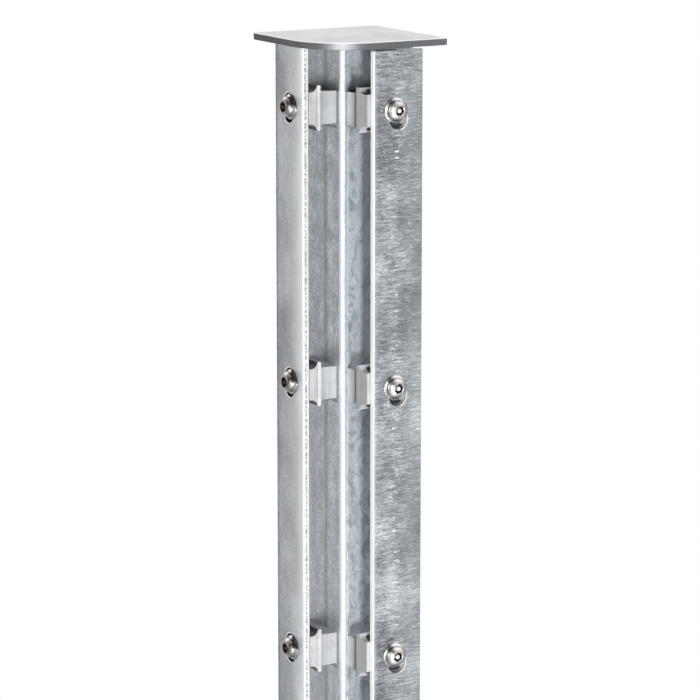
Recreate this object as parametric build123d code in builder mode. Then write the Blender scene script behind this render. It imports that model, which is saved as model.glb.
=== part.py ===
from build123d import *
import os

# Corner fence post for welded mesh panels. A square tube carries a cap plate, and a flat clamp bar stands
# off each of the two faces beside its near corner. Screws pull the bars onto moulded clips, row by row.
# The origin is the centre of the tube's lower end. The near corner points to -X and -Y.

os.makedirs("parts", exist_ok=True)

# Post tube
tube_width = 60.0
tube_wall = 2.0
tube_corner_radius = 5.0
tube_height = 1300.0

# Mesh panel that is clamped beside the tube
panel_thickness = 22.0
rod_diameter = 8.0
row_pitch = 200.0
row_count = 5
top_row_drop = 45.0

# Clamp bars
bar_width = 40.0
bar_thickness = 5.0
bar_edge_radius = 0.6
bar_corner_radius = 1.2
right_bar_top_gap = 2.5
left_bar_top_gap = 0.3
bar_tail = 42.5
slot_width = 14.5
slot_below_screw = 14.0
slot_above_screw = 7.5

# Cap plate
cap_thickness = 5.0
cap_front_overhang = 10.5
cap_back_overhang = 4.0
cap_front_radius = 43.0
cap_corner_radius = 1.5
cap_edge_bevel = 0.4

# Clips
clip_nose = 6.0
clip_nose_setback = 3.9
clip_body_half_height = 12.0
clip_body_draft = 0.4
clip_shoulder_half_height = 11.4
clip_rib_thickness = 3.0
clip_rib_root_radius = 2.0
clip_rib_tip_radius = 0.9
clip_rib_proud = 0.4
cradle_clearance = 0.8
cradle_lip = 1.7
clip_pocket_width = 13.0
clip_pocket_wall = 1.2
clip_pocket_depth = 10.0
clip_bore_clearance = 0.5
clip_recess_clearance = 0.3

# Screws
screw_offset = 2.6
thread_diameter = 8.0
thread_engagement = 11.0
thread_tip_bevel = 1.0
flange_diameter = 18.2
flange_rim_height = 0.8
flange_height = 1.6
dome_diameter = 15.2
dome_flat_diameter = 8.4
dome_step = 0.4
head_height = 6.5
socket_across_flats = 6.2
socket_depth = 3.6
socket_pin_diameter = 3.2
socket_pin_drop = 0.4

# Rivet nuts
nut_body_diameter = 11.0
nut_flange_diameter = 14.0
nut_flange_thickness = 1.2
nut_bulge_diameter = 14.6
nut_bulge_length = 3.0
nut_bulge_land = 1.2
nut_length = 15.0
nut_thread_clearance = 0.15
nut_hole_clearance = 0.1

# Places worked out from the sizes above
bar_inner = panel_thickness
bar_outer = bar_inner + bar_thickness
bar_top = tube_height - right_bar_top_gap
row_heights = [tube_height - top_row_drop - row_pitch * row for row in range(row_count)]
bar_bottom = row_heights[-1] - bar_tail
left_bar_rise = right_bar_top_gap - left_bar_top_gap
cradle_radius = rod_diameter / 2 + cradle_clearance
rib_outer = panel_thickness - cradle_lip - cradle_radius
rib_inner = rib_outer - clip_rib_thickness
rib_half_height = clip_shoulder_half_height + cradle_radius

# Tube faces that carry the bars: X across the face, Y up and Z outward. One clip form serves both faces,
# because the second face is the first turned by 90 degrees. The screws sit towards the near corner.
half_tube = tube_width / 2
right_face = Plane(origin=(0, -half_tube, 0), x_dir=(1, 0, 0), z_dir=(0, -1, 0))
left_face = Plane(origin=(-half_tube, 0, 0), x_dir=(0, -1, 0), z_dir=(-1, 0, 0))
sides = {"right": (right_face, -screw_offset), "left": (left_face, screw_offset)}


def face_plane(face, across, height, out=0.0):
    """Plane parallel to a tube face, moved across, up and out from it."""
    return Plane(origin=face.from_local_coords((across, height, out)), x_dir=face.x_dir, z_dir=face.z_dir)


def turning_plane(face, across, height):
    """Plane through a screw's axis: X across the face, Y outward along the axis."""
    return Plane(origin=face.from_local_coords((across, height, 0)), x_dir=face.x_dir, z_dir=(0, 0, -1))


def screw_axis(face, across, height):
    """Axis of a screw, pointing outward from the tube face."""
    return Axis(face.from_local_coords((across, height, 0)), face.z_dir)


# Post tube: a rolled square section with a hole in two faces for each rivet nut
nut_hole_planes = [
    face_plane(face, across, height) for face, across in sides.values() for height in row_heights
]
with BuildPart() as post_tube:
    with BuildSketch(Plane.XY):
        RectangleRounded(tube_width, tube_width, tube_corner_radius)
        inner_width = tube_width - 2 * tube_wall
        RectangleRounded(inner_width, inner_width, tube_corner_radius - tube_wall, mode=Mode.SUBTRACT)
    extrude(amount=tube_height)
    with Locations(*nut_hole_planes):
        Hole(radius=nut_body_diameter / 2 + nut_hole_clearance, depth=tube_width / 2)
post_tube.part.label = "post_tube"
export_step(post_tube.part, "parts/post_tube.step")

# Cap plate: a square plate, offset over the bars, with one large rounded corner above the near corner
cap_low = -(half_tube + bar_outer + cap_front_overhang)
cap_high = half_tube + cap_back_overhang
cap_centre = (cap_low + cap_high) / 2
with BuildPart() as cap_plate:
    with BuildSketch(Plane.XY.offset(tube_height)):
        with Locations((cap_centre, cap_centre)):
            Rectangle(cap_high - cap_low, cap_high - cap_low)
    extrude(amount=cap_thickness)
    uprights = cap_plate.edges().filter_by(Axis.Z)
    near_upright = uprights.sort_by(lambda edge: edge.center().X + edge.center().Y)[0]
    fillet(near_upright, radius=cap_front_radius)
    sharp_uprights = cap_plate.edges().filter_by(Axis.Z).sort_by(lambda edge: edge.center().X + edge.center().Y)
    fillet(sharp_uprights[-3:], radius=cap_corner_radius)
    rims = cap_plate.faces().filter_by(Axis.Z).edges()
    chamfer(rims, length=cap_edge_bevel)
cap_plate.part.label = "cap_plate"
export_step(cap_plate.part, "parts/cap_plate.step")


def build_bar(name, face, rise):
    """Flat bar with eased edges and a vertical slot for each screw, moved up within its slots by a rise."""
    middle = (bar_top + bar_bottom) / 2 + rise
    slot_length = slot_below_screw + slot_above_screw
    slot_shift = (slot_above_screw - slot_below_screw) / 2
    with BuildPart() as bar:
        with BuildSketch(face_plane(face, 0, middle, bar_inner)):
            RectangleRounded(bar_width, bar_top - bar_bottom, bar_corner_radius)
        extrude(amount=bar_thickness)
        wide_faces = bar.faces().filter_by(Axis((0, 0, 0), face.z_dir))
        fillet(wide_faces.edges(), radius=bar_edge_radius)
        with BuildSketch(face_plane(face, 0, middle, bar_inner)):
            with Locations(*[(0, height + rise + slot_shift - middle) for height in row_heights]):
                SlotOverall(slot_length, slot_width, rotation=90)
        extrude(amount=bar_thickness, mode=Mode.SUBTRACT)
    bar.part.label = name
    export_step(bar.part, f"parts/{name}.step")


def build_clip(name, face, across, height):
    """Moulded spacer: a rib between two rods, a cradle on its bar side and a flat body on its tube side."""
    flush_end = bar_width / 2 - screw_offset + clip_rib_proud
    nose_end = bar_width / 2 + clip_nose - screw_offset
    end_point = face.from_local_coords((across + flush_end, height, 0))
    profile_plane = Plane(origin=end_point, x_dir=face.z_dir, z_dir=-face.x_dir)
    plan_plane = Plane(origin=face.from_local_coords((across, height, 0)), x_dir=face.z_dir, z_dir=(0, 0, 1))
    nose_tip = nose_end + clip_rib_proud
    with BuildPart() as clip:
        with BuildSketch(profile_plane) as profile:
            with BuildLine():
                Polyline(
                    (0, 0),
                    (0, clip_body_half_height - clip_body_draft),
                    (rib_inner, clip_body_half_height),
                    (rib_inner, rib_half_height),
                    (rib_outer, rib_half_height),
                )
                CenterArc((rib_outer + cradle_radius, rib_half_height), cradle_radius, 180, 90)
                Polyline(
                    (rib_outer + cradle_radius, clip_shoulder_half_height),
                    (panel_thickness, clip_shoulder_half_height),
                    (panel_thickness, 0),
                )
                mirror(about=Plane.XZ)
            make_face()
            corners = profile.vertices().group_by(lambda point: round(abs(point.Y), 3))
            tips = corners[-1]
            roots = profile.vertices().filter_by(lambda point: abs(point.X - rib_inner) < 0.01) - tips
            fillet(tips, radius=clip_rib_tip_radius)
            fillet(roots, radius=clip_rib_root_radius)
        extrude(amount=flush_end + nose_end + clip_rib_proud)
        with BuildSketch(plan_plane):
            with BuildLine():
                Polyline(
                    (rib_inner, -nose_tip),
                    (panel_thickness, clip_nose_setback - nose_tip),
                    (panel_thickness, -nose_tip),
                    close=True,
                )
            make_face()
            with Locations((rib_inner / 2, -nose_tip), (rib_inner / 2, flush_end)):
                Rectangle(rib_inner, 2 * clip_rib_proud)
            with Locations(((rib_outer + panel_thickness) / 2, flush_end)):
                Rectangle(panel_thickness - rib_outer, 2 * clip_rib_proud)
        extrude(amount=rib_half_height, both=True, mode=Mode.SUBTRACT)
        with BuildSketch(face_plane(face, across, height, panel_thickness)):
            SlotOverall(2 * (clip_shoulder_half_height - clip_pocket_wall), clip_pocket_width, rotation=90)
        extrude(amount=-clip_pocket_depth, mode=Mode.SUBTRACT)
        with Locations(Plane(origin=face.from_local_coords((across, height, 0)), z_dir=-face.z_dir)):
            CounterBoreHole(
                radius=thread_diameter / 2 + clip_bore_clearance,
                counter_bore_radius=nut_flange_diameter / 2 + clip_recess_clearance,
                counter_bore_depth=nut_flange_thickness + clip_recess_clearance,
                depth=panel_thickness,
            )
    clip.part.label = name
    export_step(clip.part, f"parts/{name}.step")


def build_screw(name, face, across, height):
    """Flanged button-head screw with a hexagon socket round a centre pin."""
    seat = bar_outer
    tip = -(tube_wall + thread_engagement)
    with BuildPart() as screw:
        with BuildSketch(turning_plane(face, across, height)):
            with BuildLine():
                Polyline(
                    (0, seat + head_height),
                    (0, tip),
                    (thread_diameter / 2 - thread_tip_bevel, tip),
                    (thread_diameter / 2, tip + thread_tip_bevel),
                    (thread_diameter / 2, seat),
                    (flange_diameter / 2, seat),
                    (flange_diameter / 2, seat + flange_rim_height),
                    (dome_diameter / 2, seat + flange_height),
                    (dome_diameter / 2, seat + flange_height + dome_step),
                )
                dome_start = (dome_diameter / 2, seat + flange_height + dome_step)
                dome_end = (dome_flat_diameter / 2, seat + head_height)
                TangentArc(dome_start, dome_end, tangent=(0, 1))
                Line(dome_end, (0, seat + head_height))
            make_face()
        revolve(axis=screw_axis(face, across, height))
        with BuildSketch(face_plane(face, across, height, seat + head_height)):
            RegularPolygon(socket_across_flats / 2, side_count=6, major_radius=False)
            Circle(socket_pin_diameter / 2, mode=Mode.SUBTRACT)
        extrude(amount=-socket_depth, mode=Mode.SUBTRACT)
        with BuildSketch(face_plane(face, across, height, seat + head_height)):
            Circle(socket_pin_diameter / 2)
        extrude(amount=-socket_pin_drop, mode=Mode.SUBTRACT)
    screw.part.label = name
    export_step(screw.part, f"parts/{name}.step")


def build_rivet_nut(name, face, across, height):
    """Set rivet nut: flange on the tube face, body through the wall and a bulge behind it."""
    bore = thread_diameter / 2 + nut_thread_clearance
    body = nut_body_diameter / 2
    bulge = nut_bulge_diameter / 2
    bulge_end = -(tube_wall + nut_bulge_length)
    nut_end = -(tube_wall + nut_length)
    with BuildPart() as nut:
        with BuildSketch(turning_plane(face, across, height)):
            with BuildLine():
                Polyline(
                    (bore, nut_flange_thickness),
                    (nut_flange_diameter / 2, nut_flange_thickness),
                    (nut_flange_diameter / 2, 0),
                    (body, 0),
                    (body, -tube_wall),
                    (bulge, -tube_wall),
                    (bulge, -tube_wall - nut_bulge_land),
                    (body, bulge_end),
                    (body, nut_end),
                    (bore, nut_end),
                    close=True,
                )
            make_face()
        revolve(axis=screw_axis(face, across, height))
    nut.part.label = name
    export_step(nut.part, f"parts/{name}.step")


# Bars, and the clip, screw and rivet nut of each row, counted from the top
for side, (side_face, screw_across) in sides.items():
    build_bar(f"{side}_clamp_bar", side_face, left_bar_rise if side == "left" else 0.0)
    for row, row_height in enumerate(row_heights, start=1):
        build_clip(f"{side}_clip_{row}", side_face, screw_across, row_height)
        build_screw(f"{side}_screw_{row}", side_face, screw_across, row_height)
        build_rivet_nut(f"{side}_rivet_nut_{row}", side_face, screw_across, row_height)
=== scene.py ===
import math

import bmesh
import bpy
import numpy as np
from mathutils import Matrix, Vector


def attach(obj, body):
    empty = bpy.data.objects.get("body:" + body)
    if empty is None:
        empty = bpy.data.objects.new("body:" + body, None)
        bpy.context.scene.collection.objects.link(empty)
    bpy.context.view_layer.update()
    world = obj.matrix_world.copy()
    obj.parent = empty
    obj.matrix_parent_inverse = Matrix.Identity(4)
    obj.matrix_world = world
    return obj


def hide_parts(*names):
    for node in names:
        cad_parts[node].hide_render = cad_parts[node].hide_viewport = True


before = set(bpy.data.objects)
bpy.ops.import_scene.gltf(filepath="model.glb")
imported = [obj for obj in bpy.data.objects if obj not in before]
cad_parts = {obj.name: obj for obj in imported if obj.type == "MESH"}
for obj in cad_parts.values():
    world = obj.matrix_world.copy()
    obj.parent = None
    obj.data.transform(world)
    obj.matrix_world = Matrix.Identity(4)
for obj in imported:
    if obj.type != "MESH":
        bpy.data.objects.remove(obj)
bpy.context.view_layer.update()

# Corner fence post with its finishes, a floor, lamps and a camera. Lengths are in metres. The tube stands on
# the origin, the near corner points to -X and -Y, the right bar is on the -Y face and the left one on -X.

scene = bpy.context.scene
SIDES = ("right", "left")

# Rows of clips and screws, counted from the top, and the height of the top one
ROWS = range(1, 6)
ROW_TOP = 1.255
ROW_PITCH = 0.2

# Heights between which a look sets in: at the top row alone, at all rows, lower down, and under the cap
TOP_ROW_START = (1.1, 1.2)
ALL_ROWS_START = (0.39, 0.42)
LOWER_START = (1.12, 0.95)
UNDER_CAP_START = (1.266, 1.286)

# Tube and cap: where the look of the tube's near faces sets in, and the cap's round corner in X and Y
TUBE_SKIN = (-0.0285, -0.0295)
CAP_ROUND_CENTRE = -0.0245
CAP_ROUND_RADIUS = 0.043

# Bars: their slots reach further below the screws than above, and the left bar sits higher
BAR_HALF_WIDTH = 0.02
SLOT_HALF_WIDTH = 0.00725
SLOT_HALF_STRAIGHT = 0.0035
SLOT_DROP = 0.00325
LEFT_BAR_RISE = 0.0022

# Clips: half the height of the body, and the distances from the tube's axis to the rib's two faces
CLIP_HALF_HEIGHT = 0.012
RIB_START = 0.0425
RIB_END = 0.0456

# Screws: seat and tip count outwards from the tube's axis. The solid's tip is at 0.017, 30 mm further out.
SEAT = 0.057
TIP = -0.013
HEAD_HEIGHT = 0.0065
FLANGE_RADIUS = 0.0091
FLANGE_RIM = 0.0008
FLANGE_HEIGHT = 0.0016
DOME_RADIUS = 0.0076
DOME_STEP = 0.0004
DOME_FLAT_RADIUS = 0.0042
DOME_POINTS = 16
SOCKET_HALF_FLATS = 0.0031
SOCKET_DEPTH = 0.0036
PIN_RADIUS = 0.0016
PIN_DROP = 0.0004
SHANK_RADIUS = 0.004
SHANK_BEVEL = 0.001
SCREW_ANGLES = 96
SCREW_OFFSET = 0.0026

# Turn of each socket in radians, so that the screws don't all stand alike
SPIN_PER_ROW = 0.7
SPIN_LEFT = 0.4

# Merging of triangles, and edges that stay sharp
MERGE_DISTANCE = 2e-6
FLAT_ANGLE = math.radians(0.05)
SHARP_ANGLE = math.radians(32)
SCREW_SHARP_ANGLE = math.radians(40)

# Floor: a wide disc, and the distances between which it fades to white
FLOOR_RADIUS = 60.0
FLOOR_SIDES = 96
FLOOR_GREY = 0.8
FADE_START = 0.3
FADE_END = 1.8
FADE_LEAST = 0.5

# Light of the white surroundings, and the point that the lamps are aimed at
WORLD_LIGHT = 0.3
LAMP_AIM = Vector((0.0, 0.0, 1.0))

# Camera: from the near corner and a little above. The focal length counts in pixels of the picture.
CAMERA_AZIMUTH = math.radians(-29.8)
CAMERA_DIP = math.radians(11.55)
CAMERA_DISTANCE = 2.343
CAMERA_TARGET_ACROSS = -0.0059
CAMERA_TARGET_HEIGHT = 1.0720
CAMERA_REACH = 200.0
FOCAL_PIXELS = 3200.0
PICTURE_PIXELS = 700.0
SENSOR_WIDTH = 36.0


# Small helpers for objects

def link_piece(name, mesh):
    """Object of the given mesh, at the origin, in the scene."""
    piece = bpy.data.objects.new(name, mesh)
    scene.collection.objects.link(piece)
    return piece


def smooth_shading(mesh, sharp_angle):
    """Smooth faces, with edges over the angle kept sharp."""
    form = bmesh.new()
    form.from_mesh(mesh)
    for face in form.faces:
        face.smooth = True
    for edge in form.edges:
        edge.smooth = len(edge.link_faces) == 2 and edge.calc_face_angle(0.0) < sharp_angle
    form.to_mesh(mesh)
    form.free()


def fused_copy(node, name):
    """Copy of a CAD node with its loose triangles merged, so that its curves can shade smoothly."""
    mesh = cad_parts[node].data.copy()
    mesh.name = name
    mesh.materials.clear()
    if "custom_normal" in mesh.attributes:
        mesh.attributes.remove(mesh.attributes["custom_normal"])
    form = bmesh.new()
    form.from_mesh(mesh)
    bmesh.ops.remove_doubles(form, verts=form.verts, dist=MERGE_DISTANCE)
    bmesh.ops.dissolve_limit(form, angle_limit=FLAT_ANGLE, verts=form.verts, edges=form.edges)
    form.to_mesh(mesh)
    form.free()
    smooth_shading(mesh, SHARP_ANGLE)
    piece = link_piece(name, mesh)
    level = piece.modifiers.new("even_normals", "WEIGHTED_NORMAL")
    level.keep_sharp = True
    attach(piece, "root")
    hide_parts(node)
    return piece


# Small helpers for materials

class Recipe:
    """A node material that is filled in line by line."""

    def __init__(self, name, metallic, roughness):
        self.material = bpy.data.materials.new(name)
        self.material.use_nodes = True
        self.tree = self.material.node_tree
        self.shader = self.tree.nodes["Principled BSDF"]
        self.shader.inputs["Metallic"].default_value = metallic
        self.shader.inputs["Roughness"].default_value = roughness
        self.place = self.tree.nodes.new("ShaderNodeTexCoord").outputs["Object"]

    def put(self, kind, **settings):
        """New node of a kind, with its settings."""
        node = self.tree.nodes.new(kind)
        for key, value in settings.items():
            setattr(node, key, value)
        return node

    def join(self, source, target):
        """Link from an output to an input."""
        self.tree.links.new(source, target)

    def stretched(self, scale, turn=(0.0, 0.0, 0.0)):
        """Object coordinates in metres times a scale for each axis."""
        mapping = self.put("ShaderNodeMapping", vector_type="POINT")
        self.join(self.place, mapping.inputs["Vector"])
        mapping.inputs["Scale"].default_value = scale
        mapping.inputs["Rotation"].default_value = turn
        return mapping.outputs["Vector"]

    def noise(self, scale, detail=3.0, rough=0.55, warp=0.0, turn=(0.0, 0.0, 0.0)):
        """Noise from 0 to 1, with a feature size of one over the scale of each axis."""
        node = self.put("ShaderNodeTexNoise")
        self.join(self.stretched(scale, turn), node.inputs["Vector"])
        node.inputs["Scale"].default_value = 1.0
        node.inputs["Detail"].default_value = detail
        node.inputs["Roughness"].default_value = rough
        node.inputs["Distortion"].default_value = warp
        return node.outputs["Fac"]

    def math(self, operation, first, second=0.0, third=None, clamp=False):
        """Result of an operation on numbers and outputs of nodes."""
        node = self.put("ShaderNodeMath", operation=operation, use_clamp=clamp)
        for socket, value in zip(node.inputs, (first, second, third)):
            if value is None:
                continue
            if hasattr(value, "is_output"):
                self.join(value, socket)
            else:
                socket.default_value = value
        return node.outputs[0]

    def spread(self, value, low, high, to_low=0.0, to_high=1.0):
        """Value between low and high carried to a new range, with the ends held."""
        node = self.put("ShaderNodeMapRange", clamp=True)
        self.join(value, node.inputs["Value"])
        node.inputs["From Min"].default_value = low
        node.inputs["From Max"].default_value = high
        node.inputs["To Min"].default_value = to_low
        node.inputs["To Max"].default_value = to_high
        return node.outputs["Result"]

    def ramp(self, value, stops):
        """Colour ramp through (place, grey or colour) stops."""
        node = self.put("ShaderNodeValToRGB")
        self.join(value, node.inputs["Fac"])
        elements = node.color_ramp.elements
        while len(elements) < len(stops):
            elements.new(0.5)
        for element, (place, colour) in zip(elements, stops):
            element.position = place
            element.color = (*colour, 1.0)
        return node.outputs["Color"]

    def blend(self, factor, first, second):
        """Mix of two colours by a factor: 0 gives the first and 1 the second."""
        node = self.put("ShaderNodeMix", data_type="RGBA")
        sockets = [s for s in node.inputs if s.enabled]
        for socket, value in zip(sockets, (factor, first, second)):
            if hasattr(value, "is_output"):
                self.join(value, socket)
            elif isinstance(value, tuple):
                socket.default_value = (*value, 1.0)
            else:
                socket.default_value = value
        return [s for s in node.outputs if s.enabled][0]

    def axis(self, letter):
        """One object coordinate in metres."""
        node = self.put("ShaderNodeSeparateXYZ")
        self.join(self.place, node.inputs["Vector"])
        return node.outputs[letter]

    def normal_part(self, letter):
        """Part of the surface's normal along an axis, from -1 to 1."""
        node = self.put("ShaderNodeSeparateXYZ")
        self.join(self.put("ShaderNodeNewGeometry").outputs["True Normal"], node.inputs["Vector"])
        return node.outputs[letter]

    def facing(self, letter):
        """How far the surface faces along an axis, either way, from 0 to 1."""
        return self.math("ABSOLUTE", self.normal_part(letter))

    def upward(self):
        """How far the surface faces up, from -1 to 1."""
        return self.normal_part("Z")

    def product(self, *factors):
        """Product of several values."""
        result = factors[0]
        for factor in factors[1:]:
            result = self.math("MULTIPLY", result, factor)
        return result

    def length(self, first, second):
        """Square root of the sum of two squares."""
        squares = self.math("ADD", self.product(first, first), self.product(second, second))
        return self.math("SQRT", squares)

    def over_row(self):
        """Height over the middle of the nearest row of clips, in metres.

        It is the remainder of the height over a row, with half a pitch added before and taken off after.
        Ten more pitches keep the number above zero.
        """
        offset = self.math("ADD", self.axis("Z"), ROW_PITCH / 2 - ROW_TOP + ROW_PITCH * 10)
        return self.math("SUBTRACT", self.math("MODULO", offset, ROW_PITCH), ROW_PITCH / 2)

    def from_slot(self, across, over):
        """Distance outside the outline of the bar's slot at the nearest row, in metres.

        The slot is every point within half its width of an upright line on the bar's middle.
        """
        past_line = self.math("SUBTRACT", self.math("ABSOLUTE", over), SLOT_HALF_STRAIGHT)
        past_line = self.math("MAXIMUM", past_line, 0.0)
        return self.math("SUBTRACT", self.length(across, past_line), SLOT_HALF_WIDTH)

    def bar_frame(self):
        """Where a point of a clip or a screw lies: out, near, on the left and on the right.

        Out is the distance from the tube's axis, and near the one from the screw's axis towards the near
        corner, both in metres. The other two are 1 on that side and 0 on the other.
        """
        to_left = self.product(self.axis("X"), -1.0)
        to_right = self.product(self.axis("Y"), -1.0)
        out = self.math("MAXIMUM", to_left, to_right)
        near = self.math("SUBTRACT", self.math("MINIMUM", to_left, to_right), SCREW_OFFSET)
        on_right = self.math("GREATER_THAN", to_right, to_left)
        return out, near, self.math("SUBTRACT", 1.0, on_right), on_right

    def hump(self, value, middle, low_side, high_side):
        """1 at the middle, falling smoothly to 0 at the given distances below and above it."""
        rise = self.put("ShaderNodeMapRange", interpolation_type="SMOOTHSTEP")
        fall = self.put("ShaderNodeMapRange", interpolation_type="SMOOTHSTEP")
        for node, edge in ((rise, middle - low_side), (fall, middle + high_side)):
            self.join(value, node.inputs["Value"])
            node.inputs["From Min"].default_value = edge
            node.inputs["From Max"].default_value = middle
        return self.math("MINIMUM", rise.outputs["Result"], fall.outputs["Result"])

    def paint(self, colour):
        """Colour of the surface."""
        self.join(colour, self.shader.inputs["Base Color"])

    def relief(self, height, strength, distance):
        """Bump from a height between 0 and 1."""
        node = self.put("ShaderNodeBump")
        node.inputs["Strength"].default_value = strength
        node.inputs["Distance"].default_value = distance
        self.join(height, node.inputs["Height"])
        self.join(node.outputs["Normal"], self.shader.inputs["Normal"])


def grey(level, blue=0.0):
    """Neutral colour from its sRGB level between 0 and 255, with a little blue if asked."""
    share = level / 255
    linear = share / 12.92 if share <= 0.04045 else ((share + 0.055) / 1.055) ** 2.4
    return (linear * (1 - 0.75 * blue), linear, linear * (1 + 0.7 * blue))


# Materials

def right_bar_slots(recipe, base, across):
    """Slots of the right bar: walls painted white as a highlight, lower ends painted dark as shade, and a
    white painted highlight round the edge at the lower far side.
    """
    inner = recipe.spread(recipe.math("ABSOLUTE", across), 0.0185, 0.018)
    # Painted highlight: the slot walls are painted white where they would catch the light.
    painted_wall = recipe.product(inner, recipe.spread(recipe.facing("Y"), 0.6, 0.2))
    base = recipe.blend(painted_wall, base, grey(255))
    # Painted shade: the lower ends of the slots are painted dark, as in the shadow of the screw head.
    ledge_shade = recipe.product(inner, recipe.spread(recipe.upward(), 0.55, 0.75))
    ledge_shade = recipe.product(ledge_shade, recipe.spread(across, 0.0008, -0.0012))
    base = recipe.blend(ledge_shade, base, grey(66, 0.04))
    over = recipe.over_row()
    off_slot = recipe.from_slot(across, recipe.math("ADD", over, SLOT_DROP))
    far_side = recipe.spread(across, 0.001, 0.0035)
    low_part = recipe.spread(over, -0.0035, -0.0055)
    # Painted highlight: a white line round the slot's edge at its lower far side.
    lip_highlight = recipe.product(recipe.hump(off_slot, 0.0001, 0.0009, 0.001), far_side, low_part)
    return recipe.blend(lip_highlight, base, grey(255))


def right_bar_zinc(name):
    """Galvanised flat bar: mottled zinc with short marks across the bar, patches and bright specks.

    Its near edge is painted white as a highlight, and a painted sheen lets its face grow lighter towards it.
    """
    recipe = Recipe(name, metallic=0.5, roughness=0.42)
    across = recipe.axis("X")
    patch = recipe.noise((34, 34, 24), detail=4, rough=0.58)
    streak = recipe.noise((105, 105, 700), detail=5, rough=0.62, warp=0.9)
    fine = recipe.noise((560, 560, 860), detail=3, rough=0.7, warp=0.8)
    mixed = recipe.math("MULTIPLY_ADD", streak, 0.4, recipe.product(patch, 0.36))
    mixed = recipe.math("MULTIPLY_ADD", fine, 0.24, mixed)
    base = recipe.ramp(mixed, [(0.38, grey(84, 0.09)), (0.49, grey(142, 0.09)), (0.61, grey(212, 0.06))])
    calm = recipe.spread(across, 0.0, 0.008, 0.0, 0.35)
    base = recipe.blend(calm, base, grey(146, 0.09))
    dashes = recipe.math("MULTIPLY_ADD", patch, 0.3, recipe.noise((110, 110, 1000), detail=2, rough=0.5))
    dashes = recipe.spread(dashes, 0.8, 0.88, 0.0, 0.5)
    trail = recipe.hump(across, -0.001, 0.0045, 0.0045)
    dots = recipe.math("MULTIPLY_ADD", trail, 0.085, recipe.noise((165, 165, 600), detail=2, rough=0.6))
    specks = recipe.spread(dots, 0.68, 0.78)
    base = recipe.blend(recipe.math("MAXIMUM", dashes, specks), base, grey(236))
    # Painted sheen: the face grows lighter towards the near edge.
    rim = recipe.math("POWER", recipe.spread(across, -0.0155, -0.0195), 2.0)
    base = recipe.blend(recipe.product(rim, 0.45), base, grey(226, 0.03))
    # Painted highlight: the near edge is painted white.
    near_edge = recipe.spread(across, -BAR_HALF_WIDTH + 0.0006, -BAR_HALF_WIDTH + 0.0002)
    base = recipe.blend(near_edge, base, grey(250))
    base = right_bar_slots(recipe, base, across)
    recipe.paint(base)
    recipe.join(recipe.spread(streak, 0.3, 0.7, 0.52, 0.38), recipe.shader.inputs["Roughness"])
    recipe.relief(mixed, 0.3, 0.0004)
    return recipe.material


def left_bar_far_edge(recipe, base, across):
    """Far edge of the left bar: a duller band with a rough outline, and dark chips at the very edge."""
    rough_edge = recipe.noise((300, 300, 240), detail=3)
    band = recipe.math("MULTIPLY_ADD", rough_edge, 0.006, across)
    base = recipe.blend(recipe.spread(band, 0.0184, 0.0226, 0.0, 0.7), base, grey(96, 0.06))
    chips = recipe.math("MULTIPLY_ADD", rough_edge, 0.014, across)
    return recipe.blend(recipe.spread(chips, 0.0262, 0.0282, 0.0, 0.85), base, grey(52, 0.05))


def left_bar_slots(recipe, base, across):
    """Slots of the left bar: a pale painted highlight round the edge on their far side, and walls painted
    dark as shade.
    """
    over = recipe.math("ADD", recipe.over_row(), SLOT_DROP - LEFT_BAR_RISE)
    off_slot = recipe.from_slot(across, over)
    far_side = recipe.spread(across, -0.0005, 0.0015)
    # Painted highlight: a pale line round the slot's edge on its far side.
    lip_highlight = recipe.product(recipe.hump(off_slot, 0.0004, 0.0006, 0.001), far_side, 0.85)
    base = recipe.blend(lip_highlight, base, grey(250))
    # Painted shade: the slot walls are painted dark.
    hole = recipe.spread(off_slot, 0.0006, 0.0002)
    painted_wall = recipe.product(hole, recipe.spread(recipe.facing("X"), 0.6, 0.2))
    return recipe.blend(painted_wall, base, grey(48, 0.04))


def left_bar_near_edge(recipe, beads):
    """Tones of the left bar's near edge, from the outer face inwards: a painted highlight, beaded, pale, and
    painted shade.
    """
    depth = recipe.axis("X")
    tone = recipe.ramp(beads, [(0.36, grey(146, 0.06)), (0.5, grey(198, 0.05)), (0.62, grey(234))])
    tone = recipe.blend(recipe.spread(depth, -0.0544, -0.0534, 0.0, 0.85), tone, grey(238))
    # Painted shade on the inner part of the edge, towards the tube.
    tone = recipe.blend(recipe.spread(depth, -0.0526, -0.0523), tone, grey(160, 0.06))
    # Painted highlight: the outer part of the edge is light.
    return recipe.blend(recipe.spread(depth, -0.0551, -0.0559), tone, grey(238))


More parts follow.
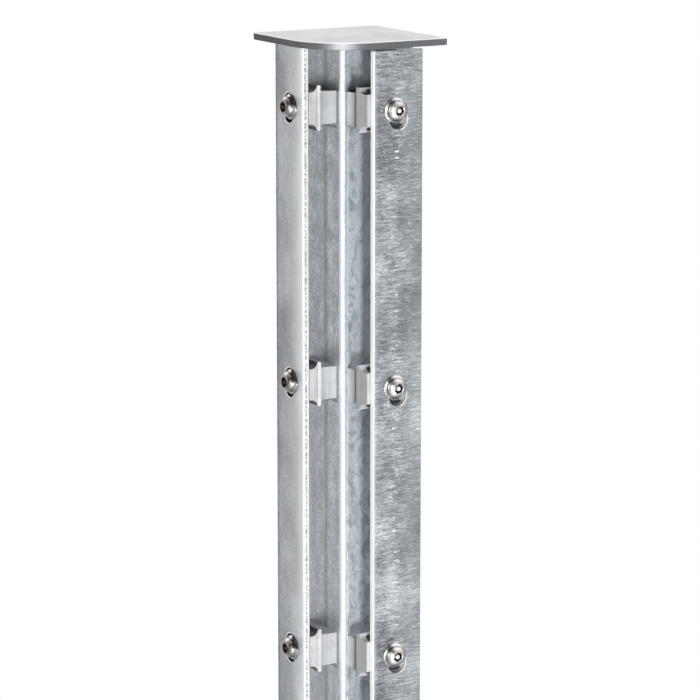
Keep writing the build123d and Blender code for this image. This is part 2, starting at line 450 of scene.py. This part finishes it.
def left_bar_zinc(name):
    """Galvanised flat bar with a calmer face: soft clouds, faint scratches and a painted sheen that lightens
    the near side.

    A line of beads of zinc runs along its near edge, with a painted highlight on its outer part and painted
    shade on its inner part.
    """
    recipe = Recipe(name, metallic=0.45, roughness=0.38)
    across = recipe.axis("Y")
    cloud = recipe.noise((40, 40, 22), detail=4)
    grain = recipe.noise((700, 700, 500), detail=3)
    mixed = recipe.math("MULTIPLY_ADD", cloud, 0.6, recipe.product(grain, 0.4))
    base = recipe.ramp(mixed, [(0.37, grey(128, 0.09)), (0.5, grey(154, 0.09)), (0.63, grey(180, 0.07))])
    run = recipe.noise((60, 110, 14), detail=2, turn=(0.62, 0.0, 0.0))
    scratch = recipe.spread(recipe.math("ABSOLUTE", recipe.math("SUBTRACT", run, 0.5)), 0.007, 0.0)
    scratch = recipe.product(scratch, recipe.spread(cloud, 0.44, 0.52), 0.55)
    base = recipe.blend(scratch, base, grey(100, 0.04))
    # Painted sheen: the face grows lighter towards the near edge.
    near = recipe.math("POWER", recipe.spread(across, 0.022, -0.0195), 3.2)
    base = recipe.blend(recipe.product(near, 0.84), base, grey(240, 0.02))
    base = recipe.blend(recipe.spread(mixed, 0.42, 0.58, 0.14, 0.0), base, grey(112, 0.08))
    base = left_bar_far_edge(recipe, base, across)
    base = left_bar_slots(recipe, base, across)
    beads = recipe.noise((260, 260, 700), detail=2, rough=0.5)
    near_edge = recipe.spread(across, -BAR_HALF_WIDTH + 0.0008, -BAR_HALF_WIDTH + 0.0004)
    base = recipe.blend(near_edge, base, left_bar_near_edge(recipe, beads))
    recipe.paint(base)
    height = recipe.math("MULTIPLY_ADD", recipe.product(near_edge, 0.08), beads, mixed)
    recipe.relief(height, 0.26, 0.0004)
    return recipe.material


def tube_left_face(recipe, base, mixed, left_side, across, lower):
    """Left face of the tube: painted light near the corner, lighter further down, and a strip of painted
    shade beside that.
    """
    # Painted light: the face is lit near the corner.
    lit = recipe.product(left_side, recipe.spread(across, -0.007, -0.0105, 0.0, 0.9))
    lit_tone = recipe.ramp(mixed, [(0.38, grey(160, 0.1)), (0.5, grey(194, 0.1)), (0.62, grey(236, 0.07))])
    base = recipe.blend(lit, base, lit_tone)
    base = recipe.blend(recipe.product(left_side, lower, 0.14), base, grey(240, 0.06))
    # Painted shade: a darker strip where the left bar's shadow edge falls.
    strip = recipe.product(left_side, recipe.hump(across, -0.0046, 0.0042, 0.0035), 0.5)
    return recipe.blend(strip, base, grey(116, 0.08))


def tube_right_face(recipe, base, mixed, right_side, across, lower):
    """Right face of the tube: bluish, with blisters, pale and dull blobs, a painted light strip, and painted
    shadow of the bar behind it.
    """
    face = recipe.ramp(mixed, [(0.38, grey(155, 0.13)), (0.5, grey(188, 0.13)), (0.62, grey(234, 0.08))])
    blisters = recipe.spread(recipe.noise((500, 500, 420), detail=2), 0.7, 0.76)
    face = recipe.blend(blisters, face, grey(246, 0.04))
    base = recipe.blend(right_side, base, face)
    blobs = recipe.noise((130, 130, 75), detail=2, warp=1.4)
    pale = recipe.product(right_side, recipe.spread(blobs, 0.44, 0.56, 0.0, 0.5))
    base = recipe.blend(pale, base, grey(226, 0.1))
    dull = recipe.product(right_side, recipe.spread(blobs, 0.49, 0.36, 0.0, 0.5))
    base = recipe.blend(dull, base, grey(150, 0.14))
    # Painted light: a lighter strip that holds back the bar's shade.
    strip = recipe.product(right_side, recipe.hump(across, -0.0172, 0.0055, 0.0035), 0.32)
    base = recipe.blend(strip, base, grey(232, 0.12))
    # Painted shadow: the face is darker behind the bar.
    bar_shadow = recipe.product(right_side, recipe.spread(across, -0.0152, -0.0128))
    bar_shadow = recipe.product(bar_shadow, recipe.spread(lower, 0.0, 1.0, 0.5, 0.2))
    return recipe.blend(bar_shadow, base, grey(152, 0.15))


def tube_shade_over_clips(recipe, base, over, cloud, right_side, near_faces):
    """Painted shade that thins out upwards from the top of each clip, most of it over the top row."""
    reach = recipe.spread(cloud, 0.4, 0.6, 0.007, 0.0125)
    # Painted shade over the clips, darkest just above each clip.
    shade_over_clip = recipe.math("DIVIDE", recipe.math("SUBTRACT", over, CLIP_HALF_HEIGHT - 0.0002), reach)
    shade_over_clip = recipe.math("SUBTRACT", 1.0, shade_over_clip, clamp=True)
    shade_over_clip = recipe.product(shade_over_clip, recipe.spread(over, CLIP_HALF_HEIGHT - 0.0012, CLIP_HALF_HEIGHT - 0.0003))
    top_row = recipe.spread(recipe.axis("Z"), *TOP_ROW_START)
    strong = recipe.spread(right_side, 0.0, 1.0, 0.7, 0.97)
    weak = recipe.spread(right_side, 0.0, 1.0, 0.04, 0.03)
    strength = recipe.math("MULTIPLY_ADD", top_row, recipe.math("SUBTRACT", strong, weak), weak)
    return recipe.blend(recipe.product(shade_over_clip, strength, near_faces), base, grey(42, 0.06))


def tube_clip_shade(recipe, base, over, left_right, near_far, left_side, near_faces):
    """Contact shade on the tube: a band under each clip, and a thin line beside the left clips."""
    along_face = recipe.math("ABSOLUTE", recipe.math("MAXIMUM", left_right, near_far))
    clip_width = recipe.product(recipe.spread(along_face, 0.0235, 0.0205), near_faces)
    has_clips = recipe.spread(recipe.axis("Z"), *ALL_ROWS_START)
    under_clip = recipe.hump(over, -CLIP_HALF_HEIGHT - 0.0022, 0.002, 0.0026)
    under_clip = recipe.product(under_clip, clip_width, has_clips, 0.55)
    base = recipe.blend(under_clip, base, grey(56, 0.06))
    beside_clip = recipe.product(left_side, recipe.hump(near_far, -0.0228, 0.0014, 0.0014))
    from_middle = recipe.math("ABSOLUTE", over)
    at_clip = recipe.spread(from_middle, CLIP_HALF_HEIGHT + 0.0005, CLIP_HALF_HEIGHT - 0.0008, 0.0, 0.7)
    return recipe.blend(recipe.product(beside_clip, at_clip, has_clips), base, grey(56, 0.06))


def tube_near_corner(recipe, base, left_right, near_far, lower):
    """Rounded near corner of the tube: a painted highlight, with a dark shoulder of painted shade on its
    right.
    """
    # Painted shade: the right part of the rounding is darkened.
    round_side = recipe.spread(near_far, -0.0268, -0.0276)
    shoulder = recipe.product(round_side, recipe.hump(left_right, -0.0269, 0.002, 0.0016), 0.9)
    shoulder_tone = recipe.blend(lower, grey(104, 0.1), grey(62, 0.1))
    base = recipe.blend(shoulder, base, shoulder_tone)
    # Painted highlight: the rounding is painted bright.
    past_left = recipe.spread(near_far, -0.0241, -0.025)
    from_edge = recipe.math("MULTIPLY_ADD", lower, -0.0006, left_right)
    corner = recipe.product(recipe.spread(from_edge, -0.0277, -0.0291), past_left, 0.95)
    return recipe.blend(corner, base, grey(236, 0.01))


def tube_zinc(name):
    """Galvanised tube: faint streaks down the tube, grain, pits, and painted shade in a band under the cap.
    """
    recipe = Recipe(name, metallic=0.45, roughness=0.38)
    left_right = recipe.axis("X")
    near_far = recipe.axis("Y")
    left_side = recipe.spread(left_right, *TUBE_SKIN)
    right_side = recipe.spread(near_far, -0.0265, -0.0297)
    near_faces = recipe.spread(recipe.math("MINIMUM", left_right, near_far), *TUBE_SKIN)
    lower = recipe.spread(recipe.axis("Z"), *LOWER_START)
    over = recipe.over_row()
    streaks = recipe.noise((190, 190, 9), detail=4, rough=0.6)
    cloud = recipe.noise((110, 110, 70), detail=5, rough=0.65)
    grain = recipe.noise((560, 560, 420), detail=4, rough=0.6)
    mixed = recipe.math("MULTIPLY_ADD", streaks, 0.12, recipe.product(cloud, 0.4))
    mixed = recipe.math("MULTIPLY_ADD", grain, 0.48, mixed)
    base = recipe.ramp(mixed, [(0.38, grey(142, 0.09)), (0.5, grey(174, 0.09)), (0.62, grey(211, 0.07))])
    pits = recipe.spread(recipe.noise((460, 460, 300), detail=2), 0.31, 0.26)
    base = recipe.blend(recipe.product(pits, 0.6), base, grey(96, 0.06))
    base = tube_left_face(recipe, base, mixed, left_side, near_far, lower)
    base = tube_right_face(recipe, base, mixed, right_side, left_right, lower)
    # Painted shade: a darker band under the cap.
    under_cap = recipe.spread(recipe.axis("Z"), *UNDER_CAP_START, 0.0, 0.14)
    base = recipe.blend(under_cap, base, grey(70, 0.06))
    # Painted shade over the clips.
    base = tube_shade_over_clips(recipe, base, over, cloud, right_side, near_faces)
    base = tube_clip_shade(recipe, base, over, left_right, near_far, left_side, near_faces)
    base = tube_near_corner(recipe, base, left_right, near_far, lower)
    recipe.paint(base)
    recipe.relief(mixed, 0.2, 0.0003)
    return recipe.material


def cap_zinc(name):
    """Galvanised cap plate: light smooth top with soft clouds, and cut edges painted darker as shade,
    darkest on the left, with painted highlights at the rounded near corner and on the top arris.

    A painted highlight runs white along the rounded near corner of the top.
    """
    recipe = Recipe(name, metallic=0.4, roughness=0.42)
    left_right = recipe.axis("X")
    near_far = recipe.axis("Y")
    cloud = recipe.noise((28, 28, 28), detail=4)
    grain = recipe.noise((500, 500, 500), detail=3)
    mixed = recipe.math("MULTIPLY_ADD", cloud, 0.7, recipe.product(grain, 0.3))
    along = recipe.math("SUBTRACT", left_right, near_far)
    # Painted shade: the cut edges are darkest on the left and lighter towards the right.
    cut = recipe.blend(recipe.spread(along, -0.08, 0.06), grey(44, 0.1), grey(98, 0.1))
    cut = recipe.blend(recipe.spread(mixed, 0.35, 0.65, 0.0, 0.05), cut, grey(200))
    # Painted highlight on the cut edge at the rounded near corner.
    cut = recipe.blend(recipe.hump(along, 0.0135, 0.029, 0.021), cut, grey(168, 0.05))
    # Painted highlight on the upward bevel of the top arris.
    cut = recipe.blend(recipe.spread(recipe.upward(), 0.4, 0.5), cut, grey(250))
    top = recipe.ramp(mixed, [(0.36, grey(222, 0.04)), (0.5, grey(234, 0.04)), (0.66, grey(244, 0.03))])
    # Painted highlight: a white line along the rounded near corner of the top.
    past_x = recipe.math("MINIMUM", recipe.math("SUBTRACT", left_right, CAP_ROUND_CENTRE), 0.0)
    past_y = recipe.math("MINIMUM", recipe.math("SUBTRACT", near_far, CAP_ROUND_CENTRE), 0.0)
    rim = recipe.spread(recipe.length(past_x, past_y), CAP_ROUND_RADIUS - 0.0045, CAP_ROUND_RADIUS - 0.0025)
    rim = recipe.product(rim, recipe.spread(along, -0.03, 0.016, 0.25, 1.0))
    top = recipe.blend(rim, top, grey(255))
    base = recipe.blend(recipe.spread(recipe.facing("Z"), 0.9, 0.97), cut, top)
    recipe.paint(base)
    recipe.relief(mixed, 0.12, 0.0003)
    return recipe.material


def clip_tones(recipe, out, on_right):
    """Tones of the clips: body with painted shade towards the rib, strongest on the right clips, rib, outer
    face of the rib, and painted shade on the slanted nose and in the crease at the rib.
    """
    # Painted shade: the body darkens towards the rib, much more on the right clips.
    shade = recipe.spread(out, 0.031, RIB_START)
    body_left = recipe.blend(shade, grey(202, 0.03), grey(182, 0.04))
    body_right = recipe.blend(shade, grey(228, 0.03), grey(110, 0.04))
    body = recipe.blend(on_right, body_left, body_right)
    base = recipe.blend(recipe.spread(out, RIB_START - 0.0001, RIB_START + 0.0001), body, grey(222, 0.03))
    outer = recipe.blend(on_right, grey(203, 0.03), grey(192, 0.03))
    base = recipe.blend(recipe.spread(out, RIB_END - 0.0001, RIB_END + 0.0001), base, outer)
    # Painted shade on the slanted nose, which faces away from the light.
    slanted = recipe.spread(recipe.product(recipe.facing("X"), recipe.facing("Y")), 0.25, 0.33)
    base = recipe.blend(slanted, base, grey(146, 0.02))
    # Painted shade in the crease at the rib.
    crease = recipe.product(recipe.spread(out, 0.0402, 0.041), recipe.spread(out, 0.0434, 0.0426))
    crease = recipe.product(crease, recipe.spread(on_right, 0.0, 1.0, 0.12, 0.9))
    return recipe.blend(crease, base, grey(60, 0.04))


def clip_hollow_shade(recipe, base, out, near, on_left, on_right):
    """Painted shade in the cradles behind the bars, and in the pockets round the screws."""
    # Painted shade in the left clips' cradles, in the gap behind the bar.
    along_left = recipe.spread(recipe.facing("Y"), 0.6, 0.4)
    left_cradle = recipe.product(on_left, recipe.spread(out, 0.0441, 0.0443), along_left)
    base = recipe.blend(left_cradle, base, grey(58, 0.04))
    from_middle = recipe.math("ABSOLUTE", recipe.over_row())
    tip = recipe.spread(from_middle, CLIP_HALF_HEIGHT - 0.0016, CLIP_HALF_HEIGHT - 0.0012)
    # Painted shadow of the bar on the right clips' cradles.
    under_bar = recipe.product(recipe.spread(out, 0.0455, 0.046), recipe.spread(near, 0.0177, 0.0167))
    along_right = recipe.spread(recipe.facing("X"), 0.6, 0.4)
    right_cradle = recipe.product(on_right, under_bar, along_right, tip)
    base = recipe.blend(right_cradle, base, grey(44, 0.04))
    # Painted shade in the pockets behind the screws.
    column = recipe.spread(recipe.math("ABSOLUTE", near), 0.0069, 0.0066)
    pocket = recipe.product(column, recipe.spread(out, 0.0405, 0.0415), recipe.math("SUBTRACT", 1.0, tip))
    return recipe.blend(pocket, base, grey(50, 0.04))


def clip_plastic(name):
    """Moulded light grey plastic, faintly marked along the post, with painted shade on its top faces."""
    recipe = Recipe(name, metallic=0.0, roughness=0.4)
    out, near, on_left, on_right = recipe.bar_frame()
    base = clip_tones(recipe, out, on_right)
    lines = recipe.noise((800, 800, 10), detail=2)
    cloud = recipe.noise((90, 90, 90), detail=3)
    worn = recipe.product(recipe.math("ADD", lines, cloud), 0.5)
    base = recipe.blend(recipe.spread(worn, 0.38, 0.56, 0.3, 0.0), base, grey(108, 0.03))
    top_row = recipe.spread(recipe.axis("Z"), *TOP_ROW_START, 0.26, 1.0)
    # Painted shade on the faces that look up, strongest at the top row.
    top_shade = recipe.product(top_row, recipe.spread(recipe.upward(), 0.45, 0.85))
    base = recipe.blend(top_shade, base, grey(44, 0.04))
    # Painted shade in the cradles and round the screws.
    base = clip_hollow_shade(recipe, base, out, near, on_left, on_right)
    recipe.paint(base)
    recipe.relief(recipe.noise((2200, 2200, 2200), detail=2), 0.12, 0.0001)
    return recipe.material


def screw_reflections(recipe, base, near, over, on_left, on_right):
    """Painted reflections on the heads of the screws, as bright and dark patches.

    Each line gives the side, the middle and the half sizes towards the near corner and upwards, and the
    tone. A patch fades out smoothly from its middle.
    """
    # Painted reflections: each row is a bright or dark patch.
    patches = (
        (on_right, -0.0018, 0.0074, 0.006, 0.0045, 0.96),
        (on_right, 0.0035, -0.0012, 0.004, 0.0055, 0.92),
        (on_right, 0.0085, -0.002, 0.003, 0.008, 0.36),
        (on_right, 0.0046, 0.0062, 0.0034, 0.004, 0.1),
        (on_right, -0.0062, -0.001, 0.003, 0.006, 0.28),
        (on_right, 0.0, -0.0072, 0.006, 0.0025, 0.2),
        (on_left, 0.0002, 0.0074, 0.0035, 0.003, 0.96),
        (on_left, 0.0062, 0.0036, 0.0045, 0.0034, 0.06),
        (on_left, 0.0046, 0.0, 0.0022, 0.0045, 0.08),
        (on_left, 0.0076, -0.0022, 0.0028, 0.0036, 0.4),
        (on_left, 0.0, -0.0068, 0.006, 0.0035, 0.4),
    )
    for side, middle_near, middle_over, half_near, half_over, tone in patches:
        patch_near = recipe.hump(near, middle_near, half_near, half_near)
        patch_over = recipe.hump(over, middle_over, half_over, half_over)
        patch = recipe.math("MULTIPLY", recipe.product(side, patch_near, patch_over), 1.5, clamp=True)
        base = recipe.blend(patch, base, (tone, tone * 0.975, tone * 0.95))
    return base


def stainless(name):
    """Polished stainless steel with painted reflections as bright and dark patches, painted shade in the
    socket round the pin, and a painted highlight on the pin of the right screws.

    The left screws are painted darker as shade, with painted shade as a dark arc on each of two opposite
    sides of the flange.
    """
    recipe = Recipe(name, metallic=1.0, roughness=0.16)
    out, near, on_left, on_right = recipe.bar_frame()
    over = recipe.over_row()
    radius = recipe.length(near, over)
    slant = recipe.math("ADD", near, over)
    cloud = recipe.noise((260, 260, 260), detail=3)
    base = recipe.ramp(cloud, [(0.36, (0.36, 0.345, 0.335)), (0.62, (0.5, 0.485, 0.47))])
    # Painted shade: the left screws are darker.
    base = recipe.blend(recipe.product(on_left, 0.75), base, (0.19, 0.18, 0.17))
    # Painted reflections on the screw heads.
    base = screw_reflections(recipe, base, near, over, on_left, on_right)
    # Painted shade: dark arcs above and below the flanges of the left screws.
    upper = recipe.product(recipe.spread(slant, 0.0085, 0.0102), recipe.spread(radius, 0.007, 0.0075))
    lower = recipe.product(recipe.spread(slant, -0.0085, -0.0102), recipe.spread(radius, 0.0079, 0.0083))
    arc_shade = recipe.product(on_left, recipe.math("MAXIMUM", upper, lower), 0.95)
    base = recipe.blend(arc_shade, base, (0.02, 0.019, 0.018))
    # Painted shade in the socket, strongest on its lower far side.
    head_end = SEAT + HEAD_HEIGHT
    deep = recipe.spread(out, head_end - 0.0005, head_end - 0.0011)
    in_socket = recipe.product(recipe.math("MAXIMUM", deep, on_left), recipe.spread(radius, 0.0040, 0.0037))
    shaded = recipe.math("MAXIMUM", recipe.spread(slant, 0.0022, -0.0002, 0.3, 0.92), on_left)
    base = recipe.blend(recipe.product(in_socket, shaded), base, (0.034, 0.018, 0.012))
    # Painted highlight: the pin of the right screws is white.
    pin = recipe.product(on_right, recipe.spread(radius, PIN_RADIUS + 0.0002, PIN_RADIUS + 0.00005))
    base = recipe.blend(pin, base, (0.95, 0.94, 0.92))
    recipe.paint(base)
    recipe.join(recipe.spread(cloud, 0.35, 0.65, 0.25, 0.35), recipe.shader.inputs["Roughness"])
    recipe.relief(cloud, 0.04, 0.0002)
    return recipe.material


def nut_zinc(name):
    """Bright zinc plating of the rivet nuts."""
    recipe = Recipe(name, metallic=1.0, roughness=0.3)
    cloud = recipe.noise((200, 200, 200), detail=3)
    base = recipe.ramp(cloud, [(0.35, grey(172, 0.02)), (0.65, grey(200, 0.02))])
    recipe.paint(base)
    return recipe.material


# Pieces

def dress(piece, material):
    """Give a piece its material."""
    piece.data.materials.clear()
    piece.data.materials.append(material)


STEEL_PARTS = (
    ("post_tube", "tube_zinc", tube_zinc, "galvanised_tube"),
    ("cap_plate", "cap_zinc", cap_zinc, "galvanised_cap"),
    ("right_clamp_bar", "right_bar_zinc", right_bar_zinc, "galvanised_bar"),
    ("left_clamp_bar", "left_bar_zinc", left_bar_zinc, "galvanised_bar"),
)
for node, finish, material_of, slot in STEEL_PARTS:
    dress(fused_copy(node, f"{finish}_coated"), material_of(finish))


# Screws: one closed surface each, worked out from the sizes of the solid

def screw_stations():
    """Rows of (radius, height over the seat, share of hexagon), from the middle of the pin to the tip.

    The dome is a circle arc that leaves the step upright: centre (DOME_RADIUS - R, base) with
    R = (rise squared + run squared) / (2 run), where run and rise lead to the rim of the flat. The small
    steps between the other rows round their edges.
    """
    base = FLANGE_HEIGHT + DOME_STEP
    run = DOME_RADIUS - DOME_FLAT_RADIUS
    rise = HEAD_HEIGHT - base
    arc_radius = (rise ** 2 + run ** 2) / (2 * run)
    arc_end = math.atan2(rise, arc_radius - run)
    turn = np.linspace(arc_end, 0.0, DOME_POINTS)
    dome = np.stack([
        DOME_RADIUS - arc_radius + arc_radius * np.cos(turn),
        base + arc_radius * np.sin(turn),
        np.zeros_like(turn),
    ], axis=1)
    pin_top = HEAD_HEIGHT - PIN_DROP
    floor_height = HEAD_HEIGHT - SOCKET_DEPTH
    flats = SOCKET_HALF_FLATS
    socket = np.array([
        (PIN_RADIUS - 0.0004, pin_top, 0),
        (PIN_RADIUS - 0.00012, pin_top - 0.00006, 0),
        (PIN_RADIUS, pin_top - 0.0003, 0),
        (PIN_RADIUS, floor_height, 0),
        (flats - 0.0002, floor_height, 1),
        (flats, floor_height + 0.0002, 1),
        (flats, HEAD_HEIGHT - 0.0006, 1),
        (flats + 0.00012, HEAD_HEIGHT - 0.0004, 0.8),
        (DOME_FLAT_RADIUS - 0.00045, HEAD_HEIGHT - 0.00004, 0.1),
        (DOME_FLAT_RADIUS - 0.0003, HEAD_HEIGHT, 0),
        (DOME_FLAT_RADIUS - 0.00015, HEAD_HEIGHT, 0),
    ])
    foot = np.array([
        (DOME_RADIUS, FLANGE_HEIGHT + 0.0001, 0),
        (DOME_RADIUS + 0.0001, FLANGE_HEIGHT, 0),
        (FLANGE_RADIUS - 0.0003, FLANGE_RIM + 0.0001, 0),
        (FLANGE_RADIUS - 0.0001, FLANGE_RIM, 0),
        (FLANGE_RADIUS, FLANGE_RIM - 0.00025, 0),
        (FLANGE_RADIUS, 0.0002, 0),
        (FLANGE_RADIUS - 0.0002, 0, 0),
        (SHANK_RADIUS, 0, 0),
        (SHANK_RADIUS, TIP + SHANK_BEVEL - SEAT, 0),
        (SHANK_RADIUS - SHANK_BEVEL, TIP - SEAT, 0),
    ])
    return np.concatenate([socket, dome, foot])


def screw_surface(name, centre, across, outward, spin):
    """Surface over (angle, station): centre + r(angle) * (across cos + up sin) + outward * height.

    r is the station's radius, blended towards half the flats over the cosine of the angle from the
    nearest flat's middle, which is a hexagon. One point at each pole closes the surface.
    """
    stations = screw_stations()
    angles = np.linspace(0, 2 * np.pi, SCREW_ANGLES, endpoint=False)
    sixth = np.pi / 3
    from_flat = np.mod(angles + spin + sixth / 2, sixth) - sixth / 2
    hexagon = 1 / np.cos(from_flat)
    stretch = 1 + stations[:, 2:3] * (hexagon[None, :] - 1)
    radius = stations[:, 0:1] * stretch
    height = np.repeat(stations[:, 1:2], SCREW_ANGLES, axis=1)
    centre = np.array(centre)
    across = np.array(across)
    outward = np.array(outward)
    up = np.array((0.0, 0.0, 1.0))
    rings = (
        centre
        + radius[..., None] * (np.cos(angles)[None, :, None] * across + np.sin(angles)[None, :, None] * up)
        + height[..., None] * outward
    )
    first_pole = centre + outward * stations[0, 1]
    last_pole = centre + outward * stations[-1, 1]
    points = np.concatenate([rings.reshape(-1, 3), first_pole[None], last_pole[None]])
    index = np.arange(len(stations) * SCREW_ANGLES).reshape(len(stations), SCREW_ANGLES)
    beside = np.roll(index, -1, axis=1)
    quads = np.stack([index[:-1], index[1:], beside[1:], beside[:-1]], axis=-1).reshape(-1, 4)
    ends = index.size
    top_fan = np.stack([np.full(SCREW_ANGLES, ends), index[0], beside[0]], axis=-1)
    tip_fan = np.stack([np.full(SCREW_ANGLES, ends + 1), beside[-1], index[-1]], axis=-1)
    mesh = bpy.data.meshes.new(name)
    mesh.from_pydata(points.tolist(), [], quads.tolist() + top_fan.tolist() + tip_fan.tolist())
    smooth_shading(mesh, SCREW_SHARP_ANGLE)
    return link_piece(name, mesh)


def place_screw(side, row):
    """Screw of a side and row, its seat on the outer face of the bar."""
    height = ROW_TOP - ROW_PITCH * (row - 1)
    spin = SPIN_PER_ROW * row + (SPIN_LEFT if side == "left" else 0.0)
    if side == "right":
        centre = (-SCREW_OFFSET, -SEAT, height)
        across, outward = (1.0, 0.0, 0.0), (0.0, -1.0, 0.0)
    else:
        centre = (-SEAT, -SCREW_OFFSET, height)
        across, outward = (0.0, -1.0, 0.0), (-1.0, 0.0, 0.0)
    screw = screw_surface(f"{side}_screw_{row}_polished", centre, across, outward, spin)
    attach(screw, "root")
    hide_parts(f"{side}_screw_{row}")
    return screw


plastic = clip_plastic("clip_grey")
steel = stainless("screw_stainless")
nut_plating = nut_zinc("rivet_nut_zinc")
for side in SIDES:
    for row in ROWS:
        clip = fused_copy(f"{side}_clip_{row}", f"{side}_clip_{row}_moulded")
        dress(clip, plastic)
        dress(place_screw(side, row), steel)
        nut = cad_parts[f"{side}_rivet_nut_{row}"]
        nut.data.materials.clear()
        nut.data.materials.append(nut_plating)


# Floor: pale near the post, where it takes the shadow, and white further out

def round_floor():
    """Flat disc on z = 0: points at radius FLOOR_RADIUS and even angles, closed by one face."""
    angles = np.linspace(0, 2 * np.pi, FLOOR_SIDES, endpoint=False)
    rim = np.stack([np.cos(angles), np.sin(angles), np.zeros_like(angles)], axis=1) * FLOOR_RADIUS
    mesh = bpy.data.meshes.new("floor")
    mesh.from_pydata(rim.tolist(), [], [list(range(FLOOR_SIDES))])
    return link_piece("floor", mesh)


def background_rays(recipe):
    """1 for rays that see the background: from the camera, off gloss or through glass."""
    path = recipe.put("ShaderNodeLightPath")
    seen = recipe.math("MAXIMUM", path.outputs["Is Camera Ray"], path.outputs["Is Glossy Ray"])
    return recipe.math("MAXIMUM", seen, path.outputs["Is Transmission Ray"])


def floor_paint():
    """Pale matt floor that turns to plain white away from the post."""
    recipe = Recipe("floor_pale", metallic=0.0, roughness=0.9)
    recipe.shader.inputs["Base Color"].default_value = (FLOOR_GREY, FLOOR_GREY, FLOOR_GREY, 1.0)
    recipe.shader.inputs["Specular IOR Level"].default_value = 0.0
    far = recipe.put("ShaderNodeVectorMath", operation="LENGTH")
    recipe.join(recipe.place, far.inputs[0])
    fade = recipe.spread(far.outputs["Value"], FADE_START, FADE_END, FADE_LEAST, 1.0)
    white = recipe.put("ShaderNodeEmission")
    white.inputs["Strength"].default_value = 1.0
    mix = recipe.put("ShaderNodeMixShader")
    recipe.join(recipe.product(fade, background_rays(recipe)), mix.inputs["Fac"])
    recipe.join(recipe.shader.outputs["BSDF"], mix.inputs[1])
    recipe.join(white.outputs["Emission"], mix.inputs[2])
    recipe.join(mix.outputs["Shader"], recipe.tree.nodes["Material Output"].inputs["Surface"])
    return recipe.material


floor = round_floor()
floor.data.materials.append(floor_paint())


# World: white to the camera and in gloss, softer as a lamp

def studio_world():
    """White all round for the camera, in gloss and through glass."""
    world = bpy.data.worlds.new("studio")
    world.use_nodes = True
    tree = world.node_tree
    background = tree.nodes["Background"]
    background.inputs["Color"].default_value = (1.0, 1.0, 1.0, 1.0)
    path = tree.nodes.new("ShaderNodeLightPath")
    seen = path.outputs["Is Camera Ray"]
    for other in ("Is Glossy Ray", "Is Transmission Ray"):
        either = tree.nodes.new("ShaderNodeMath")
        either.operation = "MAXIMUM"
        tree.links.new(seen, either.inputs[0])
        tree.links.new(path.outputs[other], either.inputs[1])
        seen = either.outputs[0]
    strength = tree.nodes.new("ShaderNodeMix")
    tree.links.new(seen, strength.inputs["Factor"])
    strength.inputs["A"].default_value = WORLD_LIGHT
    strength.inputs["B"].default_value = 1.0
    tree.links.new(strength.outputs["Result"], background.inputs["Strength"])
    scene.world = world


studio_world()


# Lamps: soft boxes round the post, each aimed at its upper half

def soft_box(name, azimuth, elevation, distance, width, height, power):
    """Area lamp at an azimuth and elevation in degrees about the aim point."""
    turn = math.radians(azimuth)
    rise = math.radians(elevation)
    back = Vector((math.sin(turn) * math.cos(rise), -math.cos(turn) * math.cos(rise), math.sin(rise)))
    data = bpy.data.lights.new(name, "AREA")
    data.shape = "RECTANGLE"
    data.size = width
    data.size_y = height
    data.energy = power
    lamp = bpy.data.objects.new(name, data)
    lamp.location = LAMP_AIM + back * distance
    lamp.rotation_mode = "QUATERNION"
    lamp.rotation_quaternion = back.to_track_quat("Z", "Y")
    scene.collection.objects.link(lamp)


soft_box("key_box", azimuth=-13, elevation=-20, distance=2.1, width=0.4, height=0.4, power=25)
soft_box("near_box", azimuth=-40, elevation=8, distance=2.6, width=0.6, height=1.4, power=21)
soft_box("left_box", azimuth=-100, elevation=10, distance=3.0, width=1.2, height=1.8, power=16)
soft_box("back_box", azimuth=140, elevation=-14, distance=3.0, width=1.6, height=0.9, power=14)
soft_box("top_box", azimuth=-30, elevation=70, distance=2.4, width=1.0, height=1.0, power=11)


# Camera: the photograph's view, from the near corner and a little above

def photo_camera():
    """Camera that looks from the near corner at a point on the post, tilted down."""
    data = bpy.data.cameras.new("photo_camera")
    data.sensor_width = SENSOR_WIDTH
    data.lens = FOCAL_PIXELS * SENSOR_WIDTH / PICTURE_PIXELS
    data.clip_end = CAMERA_REACH
    camera = bpy.data.objects.new("photo_camera", data)
    level = Vector((-math.sin(CAMERA_AZIMUTH), math.cos(CAMERA_AZIMUTH), 0.0))
    look = level * math.cos(CAMERA_DIP) - Vector((0, 0, math.sin(CAMERA_DIP)))
    right = Vector((math.cos(CAMERA_AZIMUTH), math.sin(CAMERA_AZIMUTH), 0.0))
    target = right * CAMERA_TARGET_ACROSS + Vector((0, 0, CAMERA_TARGET_HEIGHT))
    camera.location = target - look * CAMERA_DISTANCE
    camera.rotation_mode = "QUATERNION"
    camera.rotation_quaternion = look.to_track_quat("-Z", "Y")
    scene.collection.objects.link(camera)
    scene.camera = camera


photo_camera()

scene.view_settings.view_transform = "Standard"
